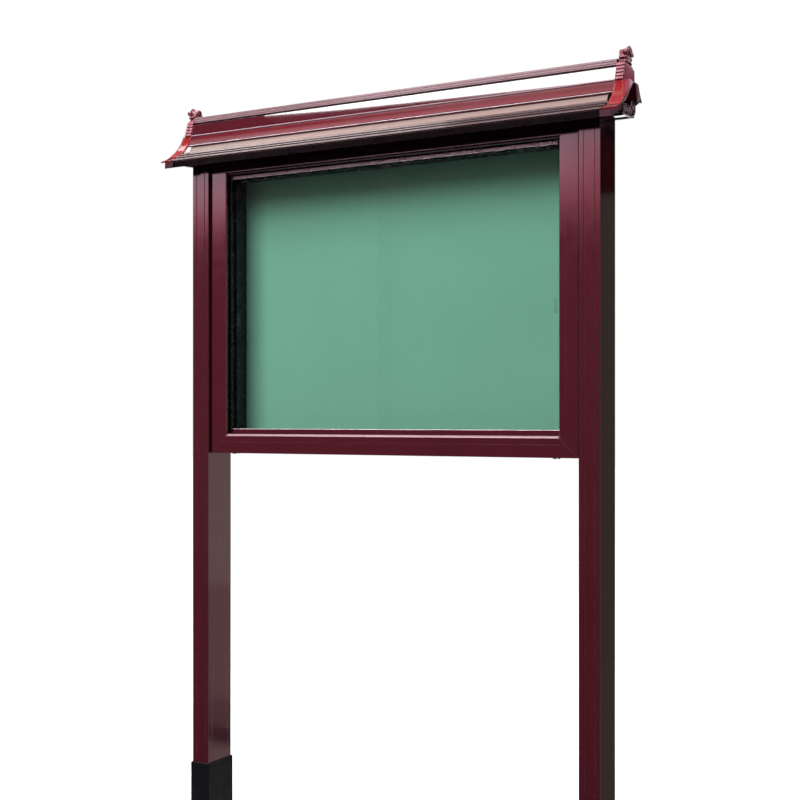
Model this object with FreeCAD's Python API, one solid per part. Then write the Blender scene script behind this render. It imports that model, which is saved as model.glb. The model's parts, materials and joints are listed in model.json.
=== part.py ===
import FreeCAD
import Part
import math
import os

# Lockable notice board: two fluted posts, a mitred frame with two sliding glass doors, and a
# small temple roof. Millimetres. X runs along the board, Y from front to back, Z up from the
# ground. Depths are measured back from the front of the posts.

# Posts
CLEAR_WIDTH = 1330.0
POST_WIDTH = 66.0
POST_DEPTH = 128.0
POST_HEIGHT = 2504.0
POST_WALL = 3.0
POST_CORNER = 1.0
GROOVE_INSET = 16.0
GROOVE_WIDTH = 2.4
GROOVE_DEEP = 1.8
SLEEVE_HEIGHT = 450.0
SLEEVE_WALL = 5.0
SLEEVE_CORNER = 2.5
CAP_THICK = 4.0

# Frame
FRAME_GAP = 6.0
FRAME_BOTTOM = 1503.0
FRAME_HEIGHT = 1001.0
FRAME_FRONT = 12.0
FRAME_BACK = 119.0
FRAME_WALL = 2.5
FACE_FLAT = 55.5
FACE_BEVEL = {"bottom": 9.0, "top": 9.0, "left": 4.7, "right": 4.7}
TUBE_WIDTH = 38.0
RABBET_WIDTH = 61.0
RABBET_FRONT = 108.0
RING_INSET = {"bottom": 81.0, "top": 77.0, "left": 67.0, "right": 67.0}
BLOCK_INSET = {"bottom": 77.0, "top": 77.0, "left": 75.0, "right": 75.0}
MITRE_REACH = 90.0
SIDE_FLOOR = 41.0
BOTTOM_FLOOR = 56.0
FRONT_CHANNEL = (23.0, 33.0)
REAR_CHANNEL = (45.0, 55.0)

# Doors and locks
GLASS_THICK = 5.0
DOOR_REACH = 616.0
DOOR_OVERLAP = 20.0
DOOR_LOW = FRAME_BOTTOM + BOTTOM_FLOOR + 0.5
DOOR_HIGH = DOOR_LOW + 894.0
SHOE_HEIGHT = 24.5
SHOE_FOOT = 13.5
CHANNEL_WALL = 1.3
LOCK_X = 585.0
NOTCH_WIDTH = 14.0
BOLT_RADIUS = 4.0
PLUG_RADIUS = 7.0
HOUSING_RADIUS = 10.0

# Roof, with heights measured from ROOF_BASE
ROOF_BASE = 2500.0
EAVE_REACH = 78.5
RIDGE_DEPTH = 81.0
REAR_REACH = 153.9
EAVE_HALF = 805.0
BODY_HALF = 763.0
FRIEZE_HALF = 749.5
RAFTER_SPAN = (756.0, 790.0)
CARVING_SPAN = (786.0, 793.0)
BEAM_HALF = 745.0
EAVE_TIP = (-EAVE_REACH, -11.5)
EAVE_TOP = (4.0, 30.0)
EAVE_THICK = 4.0
SHEET = 3.0
VERGE_THICK = 4.0
FLANGE_THICK = 5.0

HALF_CLEAR = CLEAR_WIDTH / 2
HALF_FRAME = HALF_CLEAR - FRAME_GAP
FRAME_TOP = FRAME_BOTTOM + FRAME_HEIGHT
# The origin is on the ground, midway between the eave's tip and the back of the roof
POST_FRONT = (EAVE_REACH - REAR_REACH) / 2
SIDES = {"left": -1, "right": 1}
PARTS = {}


def at(x, depth, z):
    return FreeCAD.Vector(x, depth + POST_FRONT, z)


def block(x0, x1, d0, d1, z0, z1):
    low_x = min(x0, x1)
    return Part.makeBox(abs(x1 - x0), d1 - d0, z1 - z0, at(low_x, d0, z0))


def wire_of(points, place):
    # A step is a point, or a pair of points that an arc passes through and ends at
    edges = []
    here = place(*points[0])
    for step in points[1:] + points[:1]:
        if isinstance(step[0], tuple):
            end = place(*step[1])
            edges.append(Part.Arc(here, place(*step[0]), end).toShape())
        else:
            end = place(*step)
            if here.distanceToPoint(end) > 1e-6:
                edges.append(Part.makeLine(here, end))
        here = end
    return Part.Wire(edges)


def prism(points, place, travel, holes=()):
    wires = [wire_of(points, place)] + [wire_of(hole, place) for hole in holes]
    face = Part.makeFace(wires, "Part::FaceMakerBullseye")
    return face.extrude(travel)


def roof_bar(points, x0, x1, holes=()):
    # A length of roof section along X, from points of depth and height
    def place(depth, height):
        return at(min(x0, x1), depth, ROOF_BASE + height)

    return prism(points, place, FreeCAD.Vector(abs(x1 - x0), 0, 0), holes)


def rod(x, depth, z, radius, length, direction):
    return Part.makeCylinder(radius, length, at(x, depth, z), FreeCAD.Vector(*direction))


def mirrored(shape):
    return shape.mirror(FreeCAD.Vector(0, 0, 0), FreeCAD.Vector(1, 0, 0))


def behind(points):
    # The same outline on the back slope, mirrored about the ridge
    def turn(step):
        if isinstance(step[0], tuple):
            return (turn(step[0]), turn(step[1]))
        return (2 * RIDGE_DEPTH - step[0], step[1])

    return [turn(step) for step in points]


def both_sides(name, right_shape):
    PARTS[name + "_right"] = right_shape
    PARTS[name + "_left"] = mirrored(right_shape)


def group(shapes):
    return Part.makeCompound(shapes)


def largest(shape):
    # Cuts along a shared curve can leave slivers, which are dropped
    return max(shape.Solids, key=lambda solid: solid.Volume)


def pair(right_shape):
    return group([right_shape, mirrored(right_shape)])


# Places that several parts share
SCREW_INSET = 49.0
SCREW_COLUMNS = (-500.0, -250.0, 0.0, 250.0, 500.0)
SCREW_ROWS = (1700.0, 2004.0, 2308.0)
BACK_DEPTH = FRAME_BACK + 3.0
SCREW_RADIUS = 2.5
SPACER_HEIGHTS = (1600.0, 2004.0, 2400.0)
SPACER_DEPTH = 64.0
SIDE_BOLT = 4.0


def back_screw_points():
    points = []
    for x in SCREW_COLUMNS:
        points.append((x, FRAME_BOTTOM + SCREW_INSET))
        points.append((x, FRAME_TOP - SCREW_INSET))
    for z in SCREW_ROWS:
        points.append((-HALF_FRAME + SCREW_INSET, z))
        points.append((HALF_FRAME - SCREW_INSET, z))
    return points


def screw_holes():
    return group([
        rod(x, FRAME_BACK - 12, z, SCREW_RADIUS + 0.1, 20, (0, 1, 0)) for x, z in back_screw_points()
    ])


def side_bolt_holes(side):
    return group([
        rod(side * (HALF_FRAME - 12), SPACER_DEPTH, z, SIDE_BOLT + 0.2, 32, (side, 0, 0))
        for z in SPACER_HEIGHTS
    ])


def post():
    low = HALF_CLEAR
    high = HALF_CLEAR + POST_WIDTH
    outer = block(low, high, 0, POST_DEPTH, 0, POST_HEIGHT)
    upright = [edge for edge in outer.Edges if abs(edge.Length - POST_HEIGHT) < 0.01]
    outer = outer.makeFillet(POST_CORNER, upright)
    core = block(low + POST_WALL, high - POST_WALL, POST_WALL, POST_DEPTH - POST_WALL, 0, POST_HEIGHT)
    grooves = []
    for x in (low + GROOVE_INSET, high - GROOVE_INSET):
        half = GROOVE_WIDTH / 2
        grooves.append(block(x - half, x + half, 0, GROOVE_DEEP, SLEEVE_HEIGHT - 8, POST_HEIGHT))
    return outer.cut(core).cut(group(grooves)).cut(side_bolt_holes(1))


def foot_sleeve():
    low = HALF_CLEAR
    high = HALF_CLEAR + POST_WIDTH
    wall = SLEEVE_WALL
    outer = block(low - wall, high + wall, -wall, POST_DEPTH + wall, 0, SLEEVE_HEIGHT)
    upright = [edge for edge in outer.Edges if abs(edge.Length - SLEEVE_HEIGHT) < 0.01]
    outer = outer.makeFillet(SLEEVE_CORNER, upright)
    rim = [edge for edge in outer.Edges if edge.BoundBox.ZMin > SLEEVE_HEIGHT - 0.01]
    outer = outer.makeChamfer(1.5, rim)
    inner = block(low, high, 0, POST_DEPTH, 0, SLEEVE_HEIGHT)
    upright = [edge for edge in inner.Edges if abs(edge.Length - SLEEVE_HEIGHT) < 0.01]
    return outer.cut(inner.makeFillet(POST_CORNER, upright))


def plug_plate(z0, z1):
    inset = POST_WALL
    return block(HALF_CLEAR + inset, HALF_CLEAR + POST_WIDTH - inset, inset, POST_DEPTH - inset, z0, z1)


def post_cap():
    return block(HALF_CLEAR, HALF_CLEAR + POST_WIDTH, 0, POST_DEPTH, POST_HEIGHT, POST_HEIGHT + CAP_THICK)


# Frame members are drawn as a section of inset (from the frame's outer edge) and depth,
# run along one side and cut to a mitre at both ends

def member_places():
    return {
        "bottom": (lambda u, d: at(-HALF_FRAME, d, FRAME_BOTTOM + u), (2 * HALF_FRAME, 0, 0)),
        "top": (lambda u, d: at(-HALF_FRAME, d, FRAME_TOP - u), (2 * HALF_FRAME, 0, 0)),
        "left": (lambda u, d: at(-HALF_FRAME + u, d, FRAME_BOTTOM), (0, 0, FRAME_HEIGHT)),
        "right": (lambda u, d: at(HALF_FRAME - u, d, FRAME_BOTTOM), (0, 0, FRAME_HEIGHT)),
    }


def mitre_wedge(side):
    reach = MITRE_REACH
    low, high = FRAME_BOTTOM, FRAME_TOP
    edge = HALF_FRAME
    outlines = {
        "bottom": [(-edge, low), (edge, low), (edge - reach, low + reach), (-edge + reach, low + reach)],
        "top": [(-edge, high), (edge, high), (edge - reach, high - reach), (-edge + reach, high - reach)],
        "left": [(-edge, low), (-edge, high), (-edge + reach, high - reach), (-edge + reach, low + reach)],
        "right": [(edge, low), (edge, high), (edge - reach, high - reach), (edge - reach, low + reach)],
    }
    depth = FRAME_BACK - FRAME_FRONT + 10
    return prism(outlines[side], lambda x, z: at(x, FRAME_FRONT - 5, z), FreeCAD.Vector(0, depth, 0))


def member_of(side, sections):
    # One member from closed sections, each an outline and its hollow
    place, travel = member_places()[side]
    wedge = mitre_wedge(side)
    along = FreeCAD.Vector(*travel)
    return group([prism(outline, place, along, [hollow]).common(wedge) for outline, hollow in sections])


def box_section(u0, u1, d0, d1):
    wall = FRAME_WALL
    outline = [(u0, d0), (u1, d0), (u1, d1), (u0, d1)]
    hollow = [(u0 + wall, d0 + wall), (u1 - wall, d0 + wall), (u1 - wall, d1 - wall), (u0 + wall, d1 - wall)]
    return outline, hollow


def frame_member(side):
    # A box tube with a bevelled lip in front and a rabbet flange behind
    wall = FRAME_WALL
    bevel = FACE_BEVEL[side]
    lip_edge = FACE_FLAT + bevel
    lip_back = FRONT_CHANNEL[0]
    bulge = (FACE_FLAT + 0.72 * bevel, FRAME_FRONT + 0.28 * bevel)
    lip = [
        (TUBE_WIDTH, FRAME_FRONT), (FACE_FLAT, FRAME_FRONT),
        (bulge, (lip_edge, FRAME_FRONT + bevel)), (lip_edge, lip_back), (TUBE_WIDTH, lip_back),
    ]
    low, high = FRAME_FRONT + wall, lip_back - wall
    tube_side = TUBE_WIDTH + wall
    lip_hollow = [(tube_side, low), (FACE_FLAT - 1, low), (lip_edge - 4.5, high), (tube_side, high)]
    member = member_of(side, [
        box_section(0, TUBE_WIDTH, FRAME_FRONT, FRAME_BACK),
        (lip, lip_hollow),
        box_section(TUBE_WIDTH, RABBET_WIDTH, RABBET_FRONT, FRAME_BACK),
    ])
    member = member.cut(screw_holes())
    if side in SIDES:
        member = member.cut(side_bolt_holes(SIDES[side]))
    if side == "bottom":
        member = member.cut(lock_holes())
    return member


def track_member(side):
    # Two channels for the doors: a ring between them, and a block behind
    floor = BOTTOM_FLOOR if side == "bottom" else SIDE_FLOOR
    base = TUBE_WIDTH
    inner = RING_INSET[side]
    sections = [
        box_section(floor, inner, FRONT_CHANNEL[1], REAR_CHANNEL[0]),
        box_section(base, BLOCK_INSET[side], REAR_CHANNEL[1], RABBET_FRONT),
    ]
    if side == "bottom":
        sections.append(box_section(base, floor, FRONT_CHANNEL[0], REAR_CHANNEL[1]))
        return member_of(side, sections).cut(lock_holes())
    front, back = FRONT_CHANNEL[0], REAR_CHANNEL[1]
    thin = [(base, front), (floor, front), (floor, back), (base, back)]
    place, travel = member_places()[side]
    strip = prism(thin, place, FreeCAD.Vector(*travel)).common(mitre_wedge(side))
    return group(member_of(side, sections).Solids + [strip])


def corner_key(x_side, z_side):
    # A cast angle inside the hollow corner of the frame
    wall = FRAME_WALL
    arm = 52.0
    thick = TUBE_WIDTH - 2 * wall
    x0 = x_side * (HALF_FRAME - wall)
    z0 = FRAME_BOTTOM + wall if z_side < 0 else FRAME_TOP - wall
    d0, d1 = 40.0, 60.0
    low_z, high_z = sorted((z0, z0 - z_side * arm))
    upright = block(x0, x0 - x_side * thick, d0, d1, low_z, high_z)
    low_z, high_z = sorted((z0, z0 - z_side * thick))
    across = block(x0, x0 - x_side * arm, d0, d1, low_z, high_z)
    return upright.fuse(across).removeSplitter()


def pin_board():
    half = HALF_FRAME - RABBET_WIDTH
    low = FRAME_BOTTOM + RABBET_WIDTH
    high = FRAME_TOP - RABBET_WIDTH
    return block(-half, half, RABBET_FRONT, FRAME_BACK, low, high)


def back_panel():
    inset = 20.0
    half = HALF_FRAME - inset
    panel = block(-half, half, FRAME_BACK, BACK_DEPTH, FRAME_BOTTOM + inset, FRAME_TOP - inset)
    return panel.cut(screw_holes())


def back_screws():
    screws = []
    for x, z in back_screw_points():
        shank = rod(x, FRAME_BACK - 6, z, SCREW_RADIUS, BACK_DEPTH - FRAME_BACK + 6, (0, 1, 0))
        head = rod(x, BACK_DEPTH, z, 4.5, 2.4, (0, 1, 0))
        screws.append(shank.fuse(head).removeSplitter())
    return group(screws)


def frame_spacers():
    spacers = []
    for side in SIDES.values():
        for z in SPACER_HEIGHTS:
            ring = rod(side * HALF_FRAME, SPACER_DEPTH, z, 14, FRAME_GAP, (side, 0, 0))
            spacers.append(ring.cut(side_bolt_holes(side)))
    return group(spacers)


def side_bolts():
    bolts = []
    head_x = HALF_FRAME - FRAME_WALL
    nut_x = HALF_CLEAR + POST_WALL
    for side in SIDES.values():
        for z in SPACER_HEIGHTS:
            shank = rod(side * head_x, SPACER_DEPTH, z, SIDE_BOLT, nut_x - head_x + 9, (side, 0, 0))
            head = rod(side * (head_x - 5), SPACER_DEPTH, z, 7, 5, (side, 0, 0))
            nut = rod(side * nut_x, SPACER_DEPTH, z, 7, 6.5, (side, 0, 0))
            bolts.append(shank.fuse([head, nut]).removeSplitter())
    return group(bolts)


# The right door runs in the front channel and the left door in the rear one

def channel_middle(side):
    low, high = FRONT_CHANNEL if side > 0 else REAR_CHANNEL
    return (low + high) / 2


def lock_places():
    return [(side * LOCK_X, channel_middle(side)) for side in SIDES.values()]


def lock_holes():
    holes = []
    for x, depth in lock_places():
        holes.append(rod(x, depth, FRAME_BOTTOM - 1, HOUSING_RADIUS + 0.1, 20, (0, 0, 1)))
        holes.append(rod(x, depth, FRAME_BOTTOM, BOLT_RADIUS + 0.2, BOTTOM_FLOOR + 1, (0, 0, 1)))
    return group(holes)


def across_door(side, x0, x1, half, z0, z1):
    middle = channel_middle(side)
    return block(side * x0, side * x1, middle - half, middle + half, z0, z1)


def glass_pane(side):
    return across_door(side, -DOOR_OVERLAP, DOOR_REACH - CHANNEL_WALL, GLASS_THICK / 2,
                       DOOR_LOW + SHOE_FOOT, DOOR_HIGH - CHANNEL_WALL)


def door_shoe(side):
    # A channel under the glass, on a foot strip with a notch for the bolt
    half = GLASS_THICK / 2
    wide = half + CHANNEL_WALL
    web = DOOR_LOW + SHOE_FOOT - CHANNEL_WALL
    channel = across_door(side, -DOOR_OVERLAP, DOOR_REACH, wide, web, DOOR_LOW + SHOE_HEIGHT)
    seat = across_door(side, -DOOR_OVERLAP - 1, DOOR_REACH + 1, half, DOOR_LOW + SHOE_FOOT, DOOR_HIGH)
    half_notch = NOTCH_WIDTH / 2
    foot_inner = across_door(side, -DOOR_OVERLAP, LOCK_X - half_notch, wide, DOOR_LOW, web)
    foot_outer = across_door(side, LOCK_X + half_notch, DOOR_REACH, wide, DOOR_LOW, web)
    return group([channel.cut(seat), foot_inner, foot_outer])


def top_guard(side):
    half = GLASS_THICK / 2
    low = DOOR_HIGH - 8
    guard = across_door(side, -DOOR_OVERLAP, DOOR_REACH, half + CHANNEL_WALL, low, DOOR_HIGH)
    seat = across_door(side, -DOOR_OVERLAP - 1, DOOR_REACH + 1, half, low - 1, DOOR_HIGH - CHANNEL_WALL)
    return guard.cut(seat)


def edge_channel(side):
    half = GLASS_THICK / 2
    low, high = DOOR_LOW + SHOE_HEIGHT, DOOR_HIGH - 8
    inner = DOOR_REACH - 20
    channel = across_door(side, inner, DOOR_REACH, half + CHANNEL_WALL, low, high)
    seat = across_door(side, inner - 1, DOOR_REACH - CHANNEL_WALL, half, low - 1, high + 1)
    return channel.cut(seat)


def finger_tab(side):
    # A small clear pull bonded to the front of the glass
    reach = 590.0 if side > 0 else 578.0
    width, height, proud, foot = 12.0, 44.0, 5.0, 1.5
    middle_z = 1950.0
    front = channel_middle(side) - GLASS_THICK / 2
    outline = [
        (reach - width, front), (reach - width, front - foot), (reach - 4, front - foot),
        (reach - 2.5, front - proud), (reach, front - proud), (reach, front),
    ]
    shape = prism(outline, lambda x, d: at(x, d, middle_z - height / 2), FreeCAD.Vector(0, 0, height))
    return shape if side > 0 else mirrored(shape)


def jamb_buffers():
    # Soft stops on the floor of each channel, at both jambs
    buffers = []
    outer = HALF_FRAME - SIDE_FLOOR
    for side in SIDES.values():
        middle = channel_middle(side)
        for z in (1620.0, 2390.0):
            for jamb in SIDES.values():
                inner = DOOR_REACH + 0.3
                buffers.append(block(jamb * outer, jamb * inner, middle - 3, middle + 3, z - 15, z + 15))
    return group(buffers)


def lock_housing(side):
    x, depth = side * LOCK_X, channel_middle(side)
    low = FRAME_BOTTOM - 3
    tube = rod(x, depth, low, HOUSING_RADIUS, 30, (0, 0, 1))
    flange = rod(x, depth, low, HOUSING_RADIUS + 2.5, 3, (0, 0, 1))
    bore = rod(x, depth, low - 1, PLUG_RADIUS + 0.05, 30, (0, 0, 1))
    bolt_hole = rod(x, depth, low, BOLT_RADIUS + 0.1, 40, (0, 0, 1))
    return tube.fuse(flange).removeSplitter().cut(bore).cut(bolt_hole)


def lock_plug(side):
    x, depth = side * LOCK_X, channel_middle(side)
    low = FRAME_BOTTOM - 2.5
    plug = rod(x, depth, low, PLUG_RADIUS, 16, (0, 0, 1))
    slot = block(x - 0.7, x + 0.7, depth - 4, depth + 4, low - 1, low + 8)
    return plug.cut(slot)


def lock_bolt(side):
    x, depth = side * LOCK_X, channel_middle(side)
    low = FRAME_BOTTOM + 14
    high = FRAME_BOTTOM + BOTTOM_FLOOR - 0.2
    pin = rod(x, depth, low, BOLT_RADIUS, high - low, (0, 0, 1))
    return pin


def roof_bracket():
    top = 34.0
    outline = [(-10, 8), (124, 8), (124, top), (16, top), (-10, 13)]
    low = HALF_CLEAR + POST_WALL
    return roof_bar(outline, low, HALF_CLEAR + POST_WIDTH - POST_WALL)


def roof_beam():
    low, high = 34.0, RIDGE_FOOT
    front, back = 40.0, 2 * RIDGE_DEPTH - 40.0
    outline = [(front, low), (back, low), (back, high), (front, high)]
    hollow = [(front + SHEET, low + SHEET), (back - SHEET, low + SHEET),
              (back - SHEET, high - SHEET), (front + SHEET, high - SHEET)]
    return roof_bar(outline, -BEAM_HALF, BEAM_HALF, [hollow])


RIDGE_FOOT = 91.0
RIDGE_LOW = (32.7, 94.0)
RIDGE_HIGH = (46.3, 133.3)
BAR_LOW = 140.3
BAR_HIGH = 158.5
BAR_LINES = (143.5, 150.5)
BAR_FRONT = 50.0


def ridge_case():
    # Closed case under the ridge bar, with tilted faces and a small lip along its foot
    front = [(RIDGE_LOW[0] - 2, RIDGE_FOOT), (RIDGE_LOW[0] - 2, RIDGE_LOW[1]), RIDGE_LOW, RIDGE_HIGH]
    outline = front + behind(front)[::-1]
    inner_front = [(RIDGE_LOW[0] + 3, RIDGE_FOOT + SHEET), (RIDGE_HIGH[0] + 2.5, RIDGE_HIGH[1] - SHEET)]
    hollow = inner_front + behind(inner_front)[::-1]
    return roof_bar(outline, -BODY_HALF, BODY_HALF, [hollow])


def ridge_bar():
    # Bar along the ridge: a set-back foot makes the shadow line under it
    foot = BAR_FRONT + 4
    front = [(foot, RIDGE_HIGH[1]), (foot, BAR_LOW), (BAR_FRONT, BAR_LOW), (BAR_FRONT, BAR_HIGH)]
    crown = [((RIDGE_DEPTH, BAR_HIGH + 3), (2 * RIDGE_DEPTH - BAR_FRONT, BAR_HIGH))]
    outline = front + crown + behind(front[:3])[::-1]
    inner = [(BAR_FRONT + 7, RIDGE_HIGH[1] + SHEET), (BAR_FRONT + 7, BAR_HIGH - SHEET)]
    bar = roof_bar(outline, -BODY_HALF, BODY_HALF, [inner + behind(inner)[::-1]])
    lines = []
    proud, deep, wide = BAR_FRONT - 1, BAR_FRONT + 1.2, 1.4
    for height in BAR_LINES:
        line = [(proud, height), (deep, height), (deep, height + wide), (proud, height + wide)]
        lines.append(roof_bar(line, -BODY_HALF, BODY_HALF))
        lines.append(roof_bar(behind(line), -BODY_HALF, BODY_HALF))
    return bar.cut(group(lines))


COURSE_TOP = (31.0, 88.5)
COURSE_MID = (23.1, 69.5)
COURSE_FOOT = (12.0, 52.5)


def course_outline():
    # Concave sheet from the ridge case down to the frieze, with a shadow groove under the case
    foot_depth, foot_height = COURSE_FOOT
    top_depth, top_height = COURSE_TOP
    groove = top_depth + 2.4
    inner_arc = ((COURSE_MID[0] + 3, COURSE_MID[1] - 1.5), (groove + 3, RIDGE_FOOT))
    return [
        COURSE_TOP, (COURSE_MID, COURSE_FOOT), (foot_depth + 1.5, foot_height - 2.5),
        (foot_depth + 3.5, foot_height - 1), inner_arc, (groove, RIDGE_FOOT), (groove, top_height),
    ]


def frieze():
    foot = (EAVE_TOP[0] + 3, EAVE_TOP[1] - 2.6)
    top = COURSE_FOOT[1] - 2.8
    outline = [(16, top), EAVE_TOP, foot, (18.5, top - SHEET), (38, top - SHEET), (38, top)]
    return roof_bar(outline, -FRIEZE_HALF, FRIEZE_HALF)


def along_eave(distance, height):
    # A point on the eave plate: distance down the slope from its top edge, height above it
    run, drop = EAVE_TIP[0] - EAVE_TOP[0], EAVE_TIP[1] - EAVE_TOP[1]
    down = (run / eave_length(), drop / eave_length())
    up = (down[1], -down[0])
    depth = EAVE_TOP[0] + distance * down[0] + height * up[0]
    return (depth, EAVE_TOP[1] + distance * down[1] + height * up[1])


def eave_length():
    return math.hypot(EAVE_TIP[0] - EAVE_TOP[0], EAVE_TIP[1] - EAVE_TOP[1])


RIB_PLACES = (28.0, 57.0, 86.0)
RIB_WIDTH = 11.0
RIB_HEIGHT = 3.0


def eave_end():
    # Plain end of the eave plate, a little lower, where the verge strip lies on it
    sink = 1.5
    far = eave_length() - 6
    outline = [along_eave(0, -sink), along_eave(far, -sink), along_eave(far, -sink - EAVE_THICK),
               along_eave(4, -sink - EAVE_THICK)]
    return pair(roof_bar(outline, BODY_HALF, EAVE_HALF - FLANGE_THICK))


def eave_plate():
    top = [along_eave(0, 0)]
    for middle in RIB_PLACES:
        low, high = middle - RIB_WIDTH / 2, middle + RIB_WIDTH / 2
        top += [along_eave(low, 0), (along_eave(middle, RIB_HEIGHT), along_eave(high, 0))]
    top += [along_eave(eave_length(), 0)]
    under = [along_eave(eave_length(), -EAVE_THICK), along_eave(4, -EAVE_THICK)]
    back = [(EAVE_TOP[0] + 3, EAVE_TOP[1] - 2.6)]
    plate = roof_bar(top + under + back, -BODY_HALF, BODY_HALF)
    return largest(plate.fuse(eave_end()).removeSplitter().cut(pair(verge_front())))


FASCIA_DEEP = 24.5


def fascia():
    end = eave_length()
    outline = [along_eave(end, -EAVE_THICK), along_eave(end, -FASCIA_DEEP),
               along_eave(end - SHEET, -FASCIA_DEEP), along_eave(end - SHEET, -EAVE_THICK)]
    return roof_bar(outline, -RAFTER_SPAN[0], RAFTER_SPAN[0])


def rafter():
    top_front = along_eave(eave_length() - 5, -EAVE_THICK)
    top_back = along_eave(6, -EAVE_THICK)
    outline = [(-76, -35.4), (-74, -35.4), (3.4, -3), (20, 2), (20, top_back[1]), top_back, top_front,
               (-76, top_front[1] - 1)]
    return roof_bar(outline, *RAFTER_SPAN).cut(verge_front()).cut(eave_plate())


def rear_closure():
    # Drip edge and inner wall at the back of the roof
    foot = behind([COURSE_FOOT])[0]
    outline = [
        (foot[0] - 1.5, foot[1] - 2.5), (foot[0] - 4, foot[1] - 3), (130, 36), (126, 36), (126, 12),
        (129, 12), (129, 33), (foot[0], foot[1] - 8),
    ]
    return roof_bar(outline, -CARVING_SPAN[0], CARVING_SPAN[0])


def rear_tie():
    # Flat bar across the back, below an open slot
    end = CARVING_SPAN[0]
    return block(-end, end, POST_DEPTH + 0.5, POST_DEPTH + 8.5, ROOF_BASE + 1, ROOF_BASE + 7)


def gable_panel():
    outline = [
        (8, 16), (8, 26), (18.5, 45.5), (38, 45.5), (38, 51), (19.5, 51), (36, 84),
        (2 * RIDGE_DEPTH - 36, 84), (143, 51), (126, 45.5), (126, 16),
    ]
    return roof_bar(outline, BEAM_HALF + 1, BEAM_HALF + 4.5)


# The verge strips follow a curve that flares outward towards the eave

VERGE_CENTRE = (-134.4, 159.1)
VERGE_RADIUS = 179.5
VERGE_TOP = 92.0
VERGE_BACK = 50.0


def verge_corner(height):
    # Where the top surface turns down: it runs outward as the strip comes down
    drop = max(0.0, VERGE_TOP - height)
    return min(EAVE_HALF, 789.0 + 0.29 * drop - 0.0009 * drop * drop)


def verge_station(angle):
    along = (math.cos(angle), math.sin(angle))
    depth = VERGE_CENTRE[0] + VERGE_RADIUS * along[0]
    height = VERGE_CENTRE[1] + VERGE_RADIUS * along[1]
    corner = verge_corner(height)
    roll = 0.57 * (EAVE_HALF - corner) + 0.5
    thick = VERGE_THICK
    return [
        (BODY_HALF, 0), (corner, 0), (EAVE_HALF, roll), (EAVE_HALF, roll + thick),
        (corner - 2, thick + 0.5), (BODY_HALF, thick),
    ], (depth, height), along


def verge_strip(low_height, count, turned=False):
    wires = []
    first, last = angle_at_height(low_height), angle_at_height(VERGE_TOP)
    for step in range(count):
        angle = first + (last - first) * step / (count - 1)
        section, base, along = verge_station(angle)
        points = []
        for x, sink in section:
            depth = base[0] + sink * along[0]
            height = base[1] + sink * along[1]
            if turned:
                depth = 2 * RIDGE_DEPTH - depth
            points.append(at(x, depth, ROOF_BASE + height))
        wires.append(Part.makePolygon(points + points[:1]))
    return Part.makeLoft(wires, True, True)


def verge_front():
    return verge_strip(EAVE_TIP[1], 12)


def verge_rear():
    return verge_strip(VERGE_BACK, 6, turned=True)


def angle_at_height(height):
    return math.asin((height - VERGE_CENTRE[1]) / VERGE_RADIUS)


def bargeboard():
    # Flat flange at each roof end, an uneven inverted V
    outline = [
        (-EAVE_REACH, -13), ((-17, 20), (25.5, 64)), (41, 94), (2 * RIDGE_DEPTH - 41, 94), (135, 67),
        (146, 55), (137, 46), (101, 28), (104, 46), (92, 88), (RIDGE_DEPTH, 91), (70, 88),
        ((22, 40), (-40, 2)),
    ]
    flange = roof_bar(outline, EAVE_HALF - FLANGE_THICK, EAVE_HALF)
    return largest(flange.cut(verge_front()).cut(verge_rear()).cut(ridge_end()))


def gable_carving():
    # Scrolled board in the mouth of the gable
    low, high = CARVING_SPAN
    outline = [
        (20.5, -2), ((30, -9), (46, -9)), (70, -7), ((112, -4), (128, 16)), (128, 42),
        ((112, 52), (96, 44)), ((84, 24), (62, 24)), ((44, 24), (36, 22)), ((28, 16), (20.5, 20)),
    ]
    eye = rod(low, 106, ROOF_BASE + 24, 9, high - low + 3, (1, 0, 0))
    ring = rod(low - 1, 106, ROOF_BASE + 24, 5, high - low + 6, (1, 0, 0))
    board = roof_bar(outline, low, high)
    return board.fuse(eye).removeSplitter().cut(ring)


def ridge_end():
    # Stepped ornament that closes the ridge: a core with five rounded courses on its slopes
    low, high = 92.0, 148.0
    front_low, front_high = 31.0, 52.0
    core_front = [(front_low, low), (front_high, high)]
    core = core_front + behind(core_front)[::-1]
    body = roof_bar(core, BODY_HALF, 787)
    courses = []
    for step in range(5):
        height = 101.0 + 10.0 * step
        depth = 30.5 + 4.4 * step
        for place in (depth + 1, 2 * RIDGE_DEPTH - depth - 1):
            courses.append(rod(BODY_HALF, place, ROOF_BASE + height, 4.9, 26, (1, 0, 0)))
    body = body.fuse(courses).removeSplitter()
    inner = [(front_low, low), (front_high, high)]
    inner = inner + behind(inner)[::-1]
    outer = [(77, 94), (79.5, 124)]
    outer = outer + behind(outer)[::-1]
    near = wire_of(inner, lambda d, z: at(787, d, ROOF_BASE + z))
    far = wire_of(outer, lambda d, z: at(EAVE_HALF, d, ROOF_BASE + z))
    return body.fuse(Part.makeLoft([near, far], True, True)).removeSplitter()


ROLL_START = 763.5
ROLL_HEIGHT = ROOF_BASE + 178.0
ROLL_LENGTH = 29.0
ROLL_TILT = 14.0
ROLL_RADIUS = 12.5
RIM_RADIUS = 14.5


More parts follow.
